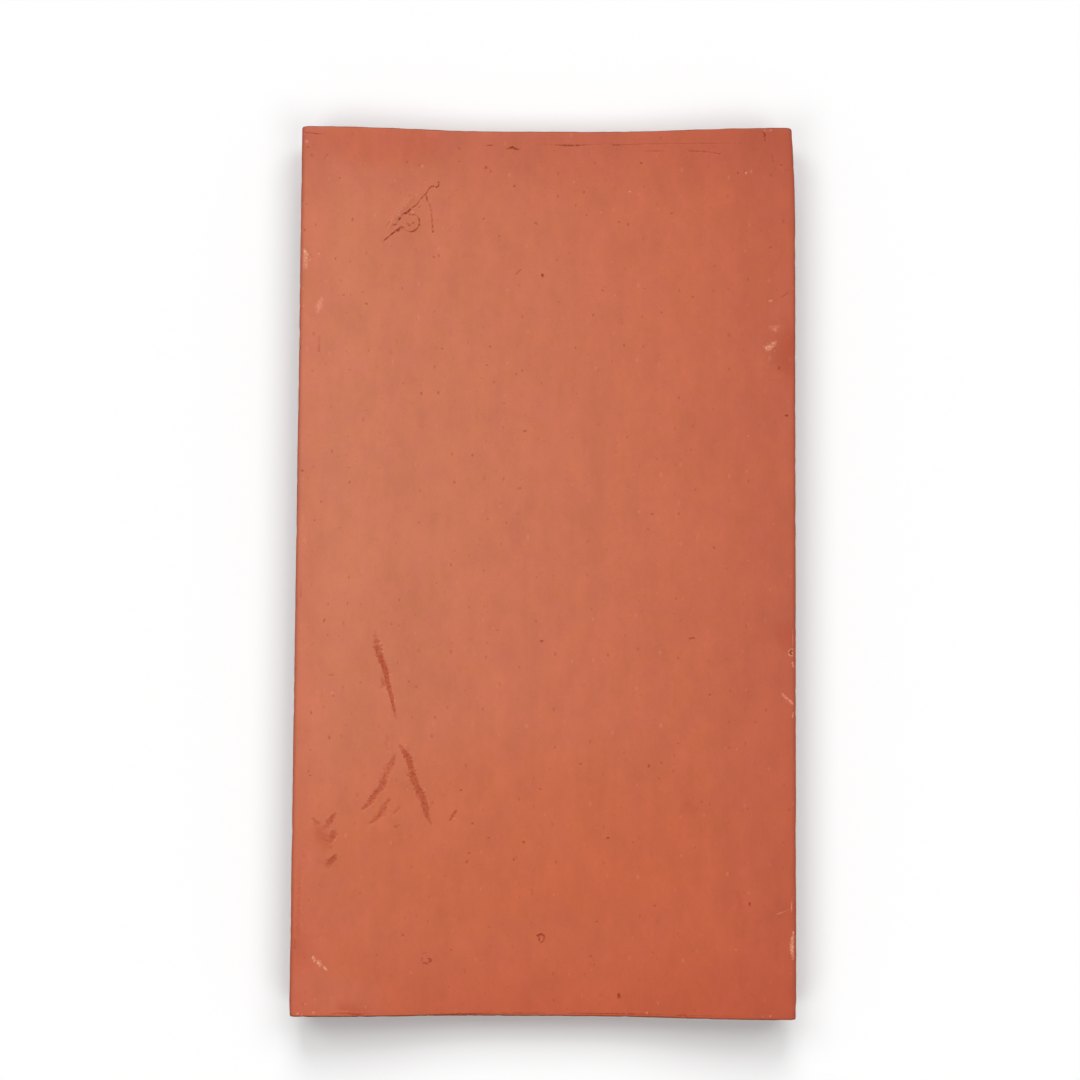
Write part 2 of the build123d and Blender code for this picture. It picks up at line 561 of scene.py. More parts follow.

# %% [markdown]
# ## Single spots
#
# Pits burnt out of the clay in the kiln, and the chips and scuff marks came with the years. Some pale
# marks on the right edge, in the fold and in the foot print are painted highlights where the clay catches
# the light. The ones that stand out are written down in the same way. A spot is only one point, so it
# becomes a very short stroke that leans its own way.

# %% Pits and dark spots
ring_pits = [
    [(537.0, 935.6, 2.6, 0.42), (540.0, 934.4, 3.0, 0.48), (543.0, 935.4, 2.6, 0.42),
     (543.8, 938.2, 2.2, 0.34), (542.6, 941.0, 2.2, 0.34), (540.4, 942.4, 2.4, 0.36)],
    [(538.6, 937.4, 2.4, 0.40), (538.8, 940.0, 2.2, 0.36)],
    [(428.2, 958.4, 2.6, 0.30), (430.6, 959.8, 2.8, 0.36), (429.2, 961.8, 3.0, 0.34)],
    [(426.8, 963.6, 2.6, 0.28), (423.4, 963.0, 2.6, 0.28)],
    [(421.8, 961.0, 2.2, 0.22), (421.8, 958.4, 2.2, 0.20)],
    [(422.4, 953.8, 1.8, 0.20), (426.2, 952.6, 1.8, 0.20)],
    [(541.8, 274.4, 3.0, 0.52), (542.0, 275.6, 3.0, 0.52)],
    [(618.2, 995.0, 3.2, 0.60), (618.3, 997.0, 3.0, 0.60)],
    [(749.1, 902.8, 2.4, 0.38), (749.0, 905.2, 2.6, 0.38)],
    [(778.8, 366.8, 2.0, 0.36), (778.4, 368.8, 2.0, 0.36)],
    [(402.0, 227.6, 2.6, 0.60), (400.6, 228.3, 3.2, 0.60), (399.2, 229.0, 2.4, 0.55)],
    [(791.4, 650.2, 1.9, 0.50), (790.0, 651.6, 2.2, 0.60), (790.4, 653.4, 2.2, 0.60),
     (791.8, 653.9, 1.9, 0.50)],
    [(407.3, 222.4, 1.4, 0.30), (408.9, 225.2, 1.9, 0.42), (411.0, 224.2, 1.5, 0.30),
     (413.2, 222.3, 2.1, 0.44)],
    [(515.6, 274.0, 1.6, 0.24), (519.8, 269.6, 1.8, 0.28)],
    [(780.6, 297.2, 2.4, 0.17), (784.0, 295.4, 3.0, 0.20), (787.0, 293.2, 2.6, 0.18)],
    [(531.0, 889.4, 1.6, 0.22), (531.6, 894.8, 1.6, 0.22)],
    [(688.8, 638.4, 2.2, 0.30), (693.2, 637.8, 2.2, 0.28)],
]
dark_spots = [
    (307.0, 146.7, 2.7, 0.26), (310.9, 155.2, 2.9, 0.22), (406.7, 161.8, 2.1, 0.24),
    (339.5, 177.6, 2.4, 0.24), (438.4, 182.2, 2.4, 0.26), (459.2, 148.7, 2.4, 0.32),
    (485.6, 167.0, 3.0, 0.36), (513.8, 186.0, 2.4, 0.32), (594.6, 162.9, 2.1, 0.26),
    (640.5, 163.0, 2.9, 0.32), (737.9, 172.8, 2.1, 0.28), (305.7, 203.7, 2.7, 0.24),
    (303.5, 229.8, 2.7, 0.28), (301.5, 470.4, 3.5, 0.34), (320.4, 501.5, 2.4, 0.28),
    (309.8, 750.0, 1.9, 0.26), (309.8, 775.0, 2.1, 0.30), (786.1, 415.2, 2.4, 0.50),
    (332.9, 695.8, 2.1, 0.28), (586.0, 215.0, 2.4, 0.26), (618.0, 222.0, 2.1, 0.26),
    (671.0, 213.0, 2.1, 0.28), (602.0, 290.0, 2.1, 0.28), (692.0, 297.0, 2.1, 0.28),
    (661.0, 312.0, 2.1, 0.28), (754.6, 722.0, 2.1, 0.22), (362.3, 292.0, 2.2, 0.26),
    (366.2, 303.4, 2.6, 0.30), (498.6, 235.8, 2.2, 0.26), (486.3, 364.8, 2.2, 0.26),
    (515.8, 373.8, 2.2, 0.26), (441.9, 348.4, 2.0, 0.26), (434.5, 311.4, 2.4, 0.20),
    (345.9, 313.0, 3.0, 0.16), (460.4, 790.0, 2.6, 0.34), (539.6, 788.8, 2.6, 0.32),
    (422.3, 793.2, 1.8, 0.34), (472.2, 823.4, 2.6, 0.28), (487.9, 837.8, 2.4, 0.30),
    (523.4, 842.0, 2.8, 0.40), (513.4, 859.2, 2.4, 0.38), (466.9, 861.4, 2.2, 0.30),
    (607.4, 837.8, 3.2, 0.36), (632.3, 842.4, 2.4, 0.24), (638.8, 838.2, 2.0, 0.22),
    (590.3, 956.0, 2.8, 0.28), (596.3, 921.6, 2.4, 0.28), (593.7, 964.6, 2.2, 0.22),
    (402.6, 935.0, 2.6, 0.28), (450.7, 950.0, 2.4, 0.26), (489.2, 927.0, 2.0, 0.20),
    (604.7, 902.0, 2.0, 0.20), (641.5, 947.0, 2.2, 0.22), (648.0, 765.6, 3.2, 0.32),
    (709.0, 694.6, 2.2, 0.28), (541.4, 641.0, 3.4, 0.36), (660.8, 762.8, 2.4, 0.26),
    (789.0, 810.0, 2.6, 0.24), (770.0, 247.0, 3.0, 0.26), (398.2, 625.6, 2.4, 0.22),
    (408.6, 681.4, 2.2, 0.24), (411.7, 717.4, 2.0, 0.22),
]
print("pits:", len(ring_pits), "dark spots:", len(dark_spots))

# %% Pale spots, chips, scuff marks and painted highlights
# Pale specks, among them painted highlights where the raised clay of the fold catches the light.
pale_spots_and_highlights = [
    (305.9, 140.4, 3.4, 0.34), (360.3, 162.1, 2.6, 0.18), (421.8, 165.5, 2.4, 0.50),
    (746.1, 172.4, 2.2, 0.30), (629.0, 191.0, 2.2, 0.42), (318.7, 252.6, 2.8, 0.70),
    (302.8, 287.4, 2.2, 0.30), (302.8, 304.8, 2.4, 0.36), (770.0, 299.8, 3.4, 0.54),
    (403.7, 205.7, 1.9, 0.36), (404.3, 203.1, 1.7, 0.30), (387.7, 226.8, 2.0, 0.36),
    (391.1, 220.3, 1.6, 0.26), (424.9, 181.4, 2.0, 0.30), (412.5, 210.9, 1.8, 0.30),
    (415.7, 193.8, 1.6, 0.26), (397.4, 226.4, 1.5, 0.30), (331.8, 691.8, 2.2, 0.36),
    (313.4, 940.0, 1.6, 0.20), (297.0, 1013.0, 2.6, 0.30), (304.3, 1003.8, 2.2, 0.26),
    (301.5, 1014.0, 2.2, 0.26), (312.6, 1012.0, 2.4, 0.26), (314.5, 999.0, 2.0, 0.20),
    (767.1, 129.6, 2.4, 0.30), (770.7, 130.4, 2.2, 0.26), (773.6, 129.6, 2.2, 0.26),
    (626.0, 1013.2, 2.2, 0.26), (646.3, 1012.6, 2.4, 0.26), (770.0, 1016.4, 2.2, 0.26),
    (762.0, 1016.6, 2.2, 0.20), (407.0, 788.6, 1.6, 0.26), (408.6, 768.4, 1.6, 0.26),
    (425.6, 805.6, 1.5, 0.26), (553.4, 893.6, 2.0, 0.24),
]
chips = [
    [(304.6, 250.5, 5.6, 0.26), (305.0, 257.0, 7.2, 0.36), (304.6, 265.5, 6.4, 0.34)],
    [(763.5, 346.4, 4.5, 0.10), (768.0, 347.6, 9.0, 0.22), (771.4, 344.4, 8.0, 0.22),
     (775.0, 341.4, 5.0, 0.13)],
    [(791.8, 648.6, 1.6, 0.30), (789.8, 649.2, 1.8, 0.36), (788.5, 651.0, 1.8, 0.32),
     (788.7, 653.4, 1.8, 0.36), (790.2, 655.2, 1.8, 0.36), (792.2, 655.0, 1.6, 0.28)],
    [(791.8, 651.6, 2.0, 0.60), (792.2, 652.6, 2.0, 0.60)],
    [(793.2, 932.0, 3.0, 0.30), (792.2, 939.0, 5.0, 0.44), (791.6, 945.0, 5.6, 0.50),
     (792.2, 952.0, 4.6, 0.40), (793.0, 959.0, 2.6, 0.26)],
    [(312.6, 956.6, 3.8, 0.34), (314.0, 959.4, 3.4, 0.30)],
    [(317.6, 961.6, 5.0, 0.44), (319.4, 964.2, 4.6, 0.42)],
    [(322.8, 966.2, 2.6, 0.30), (324.2, 967.6, 3.0, 0.34)],
]
# Scuff marks, and painted highlights: several short pale marks on the right edge and one on the foot print
# stand for light caught by the edge and the raised clay.
scuffs = [
    [(321.0, 298.0, 6.0, 0.20), (319.2, 303.5, 9.0, 0.28), (317.0, 310.0, 8.0, 0.22)],
    [(770.5, 326.8, 6.0, 0.15), (774.0, 327.8, 9.0, 0.21), (778.0, 325.8, 6.0, 0.15)],
    [(792.2, 662.0, 3.4, 0.56), (793.0, 665.6, 3.2, 0.50)],
    [(782.1, 693.6, 2.8, 0.32), (785.0, 696.4, 3.4, 0.40), (788.2, 699.0, 2.6, 0.26),
     (790.4, 701.2, 4.2, 0.46), (792.3, 703.2, 3.0, 0.34)],
    [(793.0, 712.4, 2.6, 0.44), (792.6, 715.8, 2.4, 0.40)],
    [(773.5, 914.2, 1.1, 0.16), (780.0, 912.4, 1.4, 0.26), (789.0, 909.0, 1.2, 0.20)],
    [(791.6, 899.0, 1.6, 0.20), (791.2, 906.0, 2.0, 0.34), (791.0, 911.0, 1.6, 0.20)],
    [(792.2, 629.0, 1.6, 0.20), (792.6, 637.0, 1.8, 0.30), (792.8, 645.0, 1.6, 0.20)],
    [(324.6, 968.0, 3.0, 0.36), (326.0, 969.4, 2.6, 0.32)],
    [(312.6, 706.0, 2.0, 0.10), (312.6, 722.0, 2.0, 0.10)],
    [(380.8, 640.5, 1.2, 0.12), (382.6, 652.0, 1.4, 0.16)],
]
print("pale spots:", len(pale_spots_and_highlights), "chips:", len(chips), "scuffs:", len(scuffs))

# %% Spots as short strokes
HALF_REACH = 0.16
NARROWED = 0.8
LEAN = 2.4


def short_strokes(spots):
    """Makes each spot a stroke that is shorter than wide. Every next one leans LEAN radians further."""
    strokes = []
    for number, (px, py, wide, depth) in enumerate(spots):
        lean = LEAN * number
        dx, dy = HALF_REACH * wide * cos(lean), HALF_REACH * wide * sin(lean)
        strokes.append([(px - dx, py + dy, wide, depth), (px + dx, py - dy, NARROWED * wide, depth)])
    return strokes


dark_strokes = short_strokes(dark_spots)
pale_and_highlight_strokes = short_strokes(pale_spots_and_highlights)
print("short strokes:", len(dark_strokes), "dark and", len(pale_and_highlight_strokes), "pale")

# %% [markdown]
# ## From paths to trails
#
# A path of a few points is laid on the flat bat, smoothed into a curve and cut into steps of a quarter
# of a millimetre. The width and the depth ride along as attributes of the points, so they blend from
# one point of the path to the next. The photograph is a little soft and makes a mark look wider than it
# is, so the half width is less than half of what was read.

# %% Paths on the clay
HALF = 0.465


def rounding(past, radius):
    """How far a rounded edge has dropped at a point that lies so far past the flat."""
    past = min(max(past, 0.0), radius)
    return radius - (radius * radius - past * past) ** 0.5


def face_level(x, y):
    """Height of the weather face of the flat bat, down over its rounded edges."""
    beside = rounding(abs(x) - width / 2 + face_arris, face_arris)
    beyond = rounding(abs(y) - length / 2 + end_arris, end_arris)
    return thickness / 2 - max(beside, beyond)


def on_clay(paths, wider=1.0, deeper=1.0):
    """Paths of the photograph as paths on the flat bat: place, half width and depth, in metres."""
    laid = []
    for path in paths:
        laid.append([])
        for px, py, wide, depth in path:
            x, y = on_bat(px, py)
            laid[-1].append(((x, y, face_level(x, y)), HALF * wide * wider * pixel, depth * deeper * MM))
    return laid


def marks_mesh(name, paths):
    """A mesh of loose paths, with the half width and the depth on its points."""
    links, marks = [], []
    for path in paths:
        links += [(len(marks) + i, len(marks) + i + 1) for i in range(len(path) - 1)]
        marks += path
    places, half_width, depth = zip(*marks)
    mesh = bpy.data.meshes.new(name)
    mesh.from_pydata(places, links, [])
    mesh.attributes.new("half_width", "FLOAT", "POINT").data.foreach_set("value", half_width)
    mesh.attributes.new("depth", "FLOAT", "POINT").data.foreach_set("value", depth)
    return mesh


# %% Trails of points
TRAIL_STEP = 0.25 * MM
board, trail = new_tree("stroke_trail", {"Step": FLOAT, "Material": FINISH})
path = board.add("GeometryNodeMeshToCurve", {}, {"Mesh": trail["Mesh"]})
path = board.add("GeometryNodeCurveSplineType", {"spline_type": "CATMULL_ROM"}, {"Curve": path})
path = board.add("GeometryNodeResampleCurve", {"mode": "LENGTH"}, {"Curve": path, "Length": trail["Step"]})
end_tree(board, board.add("GeometryNodeCurveToMesh", {}, {"Curve": path}), trail["Material"])


def trails(name, paths):
    """An object that holds the trails of some paths."""
    holder = new_object(name, marks_mesh(name, paths))
    holder.data = run_tree(holder, board, {"Step": TRAIL_STEP, "Material": clay})
    return holder


lines = on_clay(head_lines, wider=1.1, deeper=0.75) + on_clay(tail_lines, deeper=0.75)
pale_marks = on_clay(scuffs, deeper=0.4) + on_clay(pale_and_highlight_strokes, wider=1.1, deeper=0.4)
stroke_object = trails("strokes", on_clay(foot_print + heel_marks + rim_lines))
dot_object = trails("dots", on_clay(ring_pits + dark_strokes))
crease_object = trails("creases", on_clay(fold, wider=1.15, deeper=0.62) + lines)
swell_object = trails("swells", on_clay(swells))
chip_object = trails("chips", on_clay(chips, deeper=0.4))
scuff_and_highlight_object = trails("scuffs", pale_marks)

# %% [markdown]
# ## Pits and grit all over
#
# Hand-made clay is full of little burnt-out pits and pale grains of grit. They are many, small and in
# no order, which is what Distribute Points on Faces is for. A cubed random number makes most of them
# tiny and a few large. Each point takes a short line that is turned at random, because a round dot
# would look drilled.

# %% Scatter spots over the face
board, spot = new_tree("scatter_spots", {
    "Width": FLOAT, "Length": FLOAT, "Level": FLOAT, "Spacing": FLOAT, "Density": FLOAT, "Smallest": FLOAT,
    "Largest": FLOAT, "Depth": FLOAT, "Stretch": FLOAT, "Seed": INT, "Material": FINISH,
})
sheet = board.add("GeometryNodeMeshGrid", {}, {
    "Size X": spot["Width"], "Size Y": spot["Length"], "Vertices X": 2, "Vertices Y": 2,
})
points = board.add("GeometryNodeDistributePointsOnFaces", {"distribute_method": "POISSON"}, {
    "Mesh": sheet, "Distance Min": spot["Spacing"], "Density Max": spot["Density"], "Seed": spot["Seed"],
})
draw = board.add("FunctionNodeRandomValue", {"data_type": "FLOAT"}, {"Seed": spot["Seed"]}, out=1)
half_width = spot["Smallest"] + (spot["Largest"] - spot["Smallest"]) * draw ** 3
points = keep(board, points, "half_width", half_width)
points = keep(board, points, "depth", half_width * spot["Depth"])
turn = board.add("FunctionNodeRandomValue", {"data_type": "FLOAT_VECTOR"}, {
    "Min": (0, 0, 0), "Max": (0, 0, 2 * pi), "Seed": spot["Seed"] + 1,
})
line = board.add("GeometryNodeMeshLine", {}, {
    "Count": 4, "Start Location": (-0.5, 0, 0), "Offset": (1 / 3, 0, 0),
})
points = board.add("GeometryNodeInstanceOnPoints", {}, {
    "Points": points, "Instance": line, "Rotation": turn, "Scale": half_width * spot["Stretch"],
})
points = board.add("GeometryNodeRealizeInstances", {}, {0: points})
raised = board.add("ShaderNodeCombineXYZ", {}, {"Z": spot["Level"]})
end_tree(board, move(board, points, raised), spot["Material"])
board.report("scatter_spots")

# %% Pits and grit
side_margin = 4 * MM
end_margin = 3 * MM


def scatter(name, numbers):
    """An object that holds spots, scattered over the face with a margin at its edges."""
    holder = new_object(name, bpy.data.meshes.new(name))
    holder.data = run_tree(holder, board, {
        "Width": width - 2 * side_margin, "Length": length - 2 * end_margin, "Level": thickness / 2,
        **numbers, "Material": clay,
    })
    return holder


pit_object = scatter("pits", {
    "Spacing": 4 * MM, "Density": 2600, "Smallest": 0.22 * MM, "Largest": 0.60 * MM,
    "Depth": 0.60, "Stretch": 1.2, "Seed": 11,
})
grit_object = scatter("grit", {
    "Spacing": 8 * MM, "Density": 700, "Smallest": 0.18 * MM, "Largest": 0.36 * MM,
    "Depth": 0.50, "Stretch": 1.2, "Seed": 23,
})

# %% [markdown]
# ## More points where the clay is marked
#
# A three millimetre grid is fine for the smooth face and far too coarse for a crease. Cutting every
# face would pass the triangle limit, so only faces near a mark are cut, in four rounds that close in on
# it. Subdivide Edges keeps the mesh closed, because it also re-cuts the faces next to each finer patch.

# %% Refine the bat near its marks
ROUNDS = [2.4 * MM, 1.1 * MM, 0.5 * MM, 0.1 * MM]
SHORTEST = 0.3 * MM
MARKS = {
    "Swells": swell_object,
    "Strokes": stroke_object,
    "Creases": crease_object,
    "Dots": dot_object,
    "Pits": pit_object,
    "Chips": chip_object,
    "Scuffs": scuff_and_highlight_object,
    "Grit": grit_object,
}


def read_marks(thing):
    mesh = thing.data
    places = np.empty(len(mesh.vertices) * 3)
    mesh.vertices.foreach_get("co", places)
    sizes = np.empty(len(mesh.vertices))
    mesh.attributes["half_width"].data.foreach_get("value", sizes)
    return places.reshape(-1, 3), sizes


sites = [read_marks(thing) for label, thing in MARKS.items() if label != "Swells"]
places = np.vstack([where for where, size in sites])
sizes = np.concatenate([size for where, size in sites])
tree = KDTree(len(places))
for index, where in enumerate(places):
    tree.insert(where, index)
tree.balance()
for reach in ROUNDS:
    chosen = set()
    for face in bat.faces:
        where, index, gap = tree.find(face.calc_center_median())
        if gap < sizes[index] + reach:
            chosen.update(edge for edge in face.edges if edge.calc_length() > SHORTEST)
    bmesh.ops.subdivide_edges(bat, edges=list(chosen), cuts=1, use_grid_fill=True)
big = [face for face in bat.faces if len(face.verts) > 4]
bmesh.ops.triangulate(bat, faces=big)
bat_mesh = bpy.data.meshes.new("flat_bat")
bat.to_mesh(bat_mesh)
bat.free()
tile = new_object("clay_tile", bat_mesh)
print("refined bat:", len(bat_mesh.vertices), "points,", len(bat_mesh.polygons), "faces")

# %% [markdown]
# ## Pressing the marks
#
# One group presses any set of marks. Every point of the clay looks for the nearest mark, reads its half
# width and depth, and sinks along its own normal by a bowl of that size. Some of the clay that is
# pushed away stands up as a low rim round the bowl. A little noise on the distance breaks the smooth
# outline. The bowl is also kept under a name, weighed by the depth, so that the finish can be darker or
# paler there. Its rim is kept as a negative number under the same name.

# %% The press group
RIM_START, RIM_TOP, RIM_END = 0.9, 1.3, 1.8
press, mark = new_tree("press_marks", {
    "Marks": SHAPE, "Outer": FLOAT, "Inner": FLOAT, "Rim": FLOAT, "Ragged": FLOAT, "Lump": FLOAT,
    "Full Depth": FLOAT, "Mask": TEXT,
})
here = press.add("GeometryNodeInputPosition")
nearest = press.add("GeometryNodeSampleNearest", {"domain": "POINT"}, {"Geometry": mark["Marks"]})


def of_nearest(kind, value):
    sockets = {"Geometry": mark["Marks"], "Value": value, "Index": nearest}
    return press.add("GeometryNodeSampleIndex", {"data_type": kind, "domain": "POINT"}, sockets)


def on_mark(name):
    value = press.add("GeometryNodeInputNamedAttribute", {"data_type": "FLOAT"}, {"Name": name})
    return of_nearest("FLOAT", value)


gap = press.vector("DISTANCE", here, of_nearest("FLOAT_VECTOR", here), out="Value")
lumps = press.noise(here, mark["Lump"], detail=3.0)
reach = gap * (1 + mark["Ragged"] * (lumps - 0.5)) / on_mark("half_width")
bowl = press.smooth(reach, mark["Outer"], mark["Inner"])
rim = press.smooth(reach, RIM_START, RIM_TOP) * press.smooth(reach, RIM_END, RIM_TOP)
has_rim = press.math("GREATER_THAN", mark["Rim"], 0.0)
depth = on_mark("depth")
weight = press.add("ShaderNodeClamp", {}, {0: depth / mark["Full Depth"], "Min": -1.0, "Max": 1.0})
masked = weight * (bowl - has_rim * rim * (1 - bowl))
shape = keep(press, mark["Mesh"], mark["Mask"], masked)
normal = press.add("GeometryNodeInputNormal")
end_tree(press, move(press, shape, press.scaled(normal, depth * (mark["Rim"] * rim - bowl))))
press.report("press_marks")

# %% [markdown]
# ## Over the mould
#
# The marked bat is bent to the section by a rule, point by point: how far a point lies along the sweep
# gives the slope there, and the point keeps its distance from the middle of the clay, square to it.
# Slow noise comes first, for the unevenness of hand-made clay, and wear along the edges. They only draw
# the clay in, so the tile stays inside its solid.

# %% The forming tree
board, form = new_tree("form_tile", {
    **{label: THING for label in MARKS}, "Bed Width": FLOAT, "Dish Depth": FLOAT, "Sweep Run": FLOAT,
    "Sweep Radius": FLOAT, "Thickness": FLOAT, "Width": FLOAT, "Length": FLOAT, "Wobble": FLOAT,
    "Wobble Size": FLOAT, "Wear": FLOAT, "Wear Size": FLOAT, "Corner Pull": FLOAT, "Tail Pull": FLOAT,
    "Corner Reach": FLOAT, "Material": FINISH,
})
PRESS = {
    "Swells": {"Outer": 1.2, "Inner": 0.1, "Rim": 0.0, "Ragged": 1.4, "Lump": 2.0, "Full Depth": 0.40},
    "Strokes": {"Outer": 1.35, "Inner": 0.25, "Rim": 0.2, "Ragged": 3.0, "Lump": 0.9, "Full Depth": 0.44},
    "Creases": {"Outer": 1.2, "Inner": 0.1, "Rim": 0.3, "Ragged": 2.0, "Lump": 0.8, "Full Depth": 0.25},
    "Dots": {"Outer": 1.1, "Inner": 0.1, "Rim": 0.2, "Ragged": 1.8, "Lump": 0.8, "Full Depth": 0.45},
    "Pits": {"Outer": 1.0, "Inner": 0.0, "Rim": 0.0, "Ragged": 2.0, "Lump": 0.8, "Full Depth": 0.40},
    "Chips": {"Outer": 1.3, "Inner": 0.2, "Rim": 0.0, "Ragged": 3.0, "Lump": 0.7, "Full Depth": 0.12},
    "Scuffs": {"Outer": 1.3, "Inner": 0.1, "Rim": 0.0, "Ragged": 2.4, "Lump": 0.8, "Full Depth": 0.14},
    "Grit": {"Outer": 1.0, "Inner": 0.0, "Rim": 0.0, "Ragged": 0.8, "Lump": 0.8, "Full Depth": 0.20},
}
shape = form["Mesh"]
for label, numbers in PRESS.items():
    in_metres = {"Lump": numbers["Lump"] * MM, "Full Depth": numbers["Full Depth"] * MM}
    marks = board.add("GeometryNodeObjectInfo", {}, {"Object": form[label]}, out="Geometry")
    sockets = {**numbers, **in_metres, "Mesh": shape, "Marks": marks, "Mask": label.lower()}
    shape = board.add("GeometryNodeGroup", {"node_tree": press.tree}, sockets)
board.report("form_tile, with its marks")

# %% Unevenness
PULLED_FROM = 0.3
WORN_FROM, WORN_OUT = 0.42, 0.8
here = board.add("GeometryNodeInputPosition")
normal = board.add("GeometryNodeInputNormal")
side = board.add("GeometryNodeInputNamedAttribute", {"data_type": "FLOAT"}, {"Name": "cut_side"})
wobble = board.noise(here, form["Wobble Size"], detail=1.0)
worn = board.noise(here, form["Wear Size"], detail=3.0)
drawn_in = form["Wobble"] * wobble + form["Wear"] * side * board.smooth(worn, WORN_FROM, WORN_OUT)
shape = move(board, shape, board.scaled(normal, -drawn_in))
x, y, z = here.xyz()
from_head = board.largest(1 - (form["Length"] / 2 - y) / form["Corner Reach"], 0)
pull = board.smooth(x, form["Width"] * PULLED_FROM, form["Width"] / 2) * from_head ** 2
from_tail = board.largest(1 - (form["Length"] / 2 + y) / form["Corner Reach"], 0)
skew = board.largest(x, 0) / (form["Width"] / 2) * from_tail ** 2
shape = move(board, shape, board.add("ShaderNodeCombineXYZ", {}, {
    "X": -(form["Corner Pull"] * pull), "Y": form["Tail Pull"] * skew,
}))
board.report("form_tile, with its unevenness")

# %% The bend
run = form["Sweep Run"]
radius = form["Sweep Radius"]
along = board.smallest(board.largest(abs(x) - form["Bed Width"] / 2, 0), run)
slope = board.smallest(along, run - along) / radius
level = board.math("SQRT", 1 - slope * slope)
rise = radius * (1 - level)
second = board.math("GREATER_THAN", along, run / 2)
middle_rise = rise + second * (form["Dish Depth"] - 2 * rise)
bent = board.add("ShaderNodeCombineXYZ", {}, {
    "X": x - board.math("SIGN", x) * slope * z,
    "Y": y,
    "Z": form["Thickness"] / 2 + middle_rise + level * z,
})
shape = board.add("GeometryNodeSetPosition", {}, {"Geometry": shape, "Position": bent})
end_tree(board, shape, form["Material"])
board.report("form_tile")

# %% Form the tile
tile_mesh = run_tree(tile, board, {
    **MARKS, "Bed Width": bed_width, "Dish Depth": dish_depth, "Sweep Run": sweep_run,
    "Sweep Radius": sweep_radius, "Thickness": thickness, "Width": width, "Length": length,
    "Wobble": 0.25 * MM, "Wobble Size": 45 * MM, "Wear": 0.35 * MM, "Wear Size": 4 * MM,
    "Corner Pull": 1.5 * MM, "Tail Pull": 0.35 * MM, "Corner Reach": 45 * MM, "Material": clay,
})
tile.data = tile_mesh
tile_mesh.shade_smooth()
for helper in MARKS.values():
    bpy.data.objects.remove(helper)
triangles = sum(len(face.vertices) - 2 for face in tile_mesh.polygons)
print("clay tile:", triangles, "triangles, attributes", [a.name for a in tile_mesh.attributes])

# %% [markdown]
# ## The fired finish
#
# Fired clay is matt and never one colour. The face is paler and greyer towards the left and deeper red
# towards the right, which is painted sheen and light on the left slope of the dish, with a paler kiln tone
# in it. The right side and the left rim are painted darker, as painted shade of the dish. There are also a
# few soft patches near the ends and edges, cloudy mottling, streaks along the tile from the striking
# board, a fine grain and faint specks all over. A painted picture would stretch over the bent clay and
# be bound to one size. So each layer is one expression on the tile's own coordinates or attributes.

# %% Clay colours
def paint(red, green, blue):
    """An 8-bit screen colour as the linear colour that a shader takes."""
    linear = [((c / 255 + 0.055) / 1.055) ** 2.4 for c in (red, green, blue)]
    return (*linear, 1.0)


clay.use_nodes = True
clay.node_tree.nodes.clear()
board = Board(clay.node_tree)
place = board.add("ShaderNodeTexCoord", out="Object")
x, y = place.xyz()[:2]


def mask(name):
    return board.add("ShaderNodeAttribute", {"attribute_name": name}, out="Fac")


def grey(value):
    return board.add("ShaderNodeCombineColor", {}, {0: value, 1: value, 2: value})


def toned(colour, where, factor):
    """The colour times a factor, where a mask is 1."""
    return board.mix(where, colour, board.mix(1.0, colour, (*factor, 1), "MULTIPLY"))


def patch(centre_x, centre_y, half_wide, half_long):
    """A soft oval on the weather face, sizes in millimetres."""
    across = (x - centre_x * MM) / (half_wide * MM)
    along = (y - centre_y * MM) / (half_long * MM)
    return board.smooth(across ** 2 + along ** 2, 1.0, 0.1)


print("bare clay as a linear colour:", [round(part, 3) for part in paint(190, 84, 51)])

# %% Sheen, shaded rims, ends and patches
# Painted sheen and light: paler and greyer towards the left slope of the dish, with a paler kiln tone in
# it, fading towards the head and the tail.
bloom_and_sheen = board.smooth(x, 286 * MM, -201 * MM) * (1 - 0.44 * ((y - 49 * MM) / (180 * MM)) ** 2)
# Painted shade: darker towards the right edge, where the right side of the dish turns from the light, and a
# little darker and redder on the left rim.
right_side_shade = board.smooth(x, 52 * MM, 101 * MM)
left_rim_shade = board.smooth(x, -84 * MM, -98 * MM)
head_end = board.smooth(y, 146 * MM, 180 * MM)
tail_end = board.smooth(y, -150 * MM, -178 * MM) * board.smooth(x, -90 * MM, 0.0)
warm_tail = patch(-15, -108, 105, 48)
tail_corner = patch(-92, -174, 36, 16)
red_head = patch(-68, 174, 34, 14)
red_rim = patch(99, 87, 10, 12)
red_spot = patch(97, -27, 6, 8)
colour = board.mix(bloom_and_sheen, paint(190, 84, 51), paint(205, 125, 95))
for where, factor in (
    (right_side_shade, (0.92, 0.91, 1.00)),
    (left_rim_shade, (1.00, 0.95, 0.97)),
    (head_end, (0.94, 0.88, 0.95)),
    (tail_end, (0.97, 0.94, 0.97)),
    (warm_tail, (1.00, 0.96, 0.88)),
    (tail_corner, (1.00, 1.08, 1.20)),
    (red_head, (1.00, 0.91, 0.86)),
    (red_rim, (0.91, 0.82, 0.80)),
    (red_spot, (0.94, 0.86, 0.84)),
):
    colour = toned(colour, where, factor)
board.report("fired clay, with its bloom and patches")

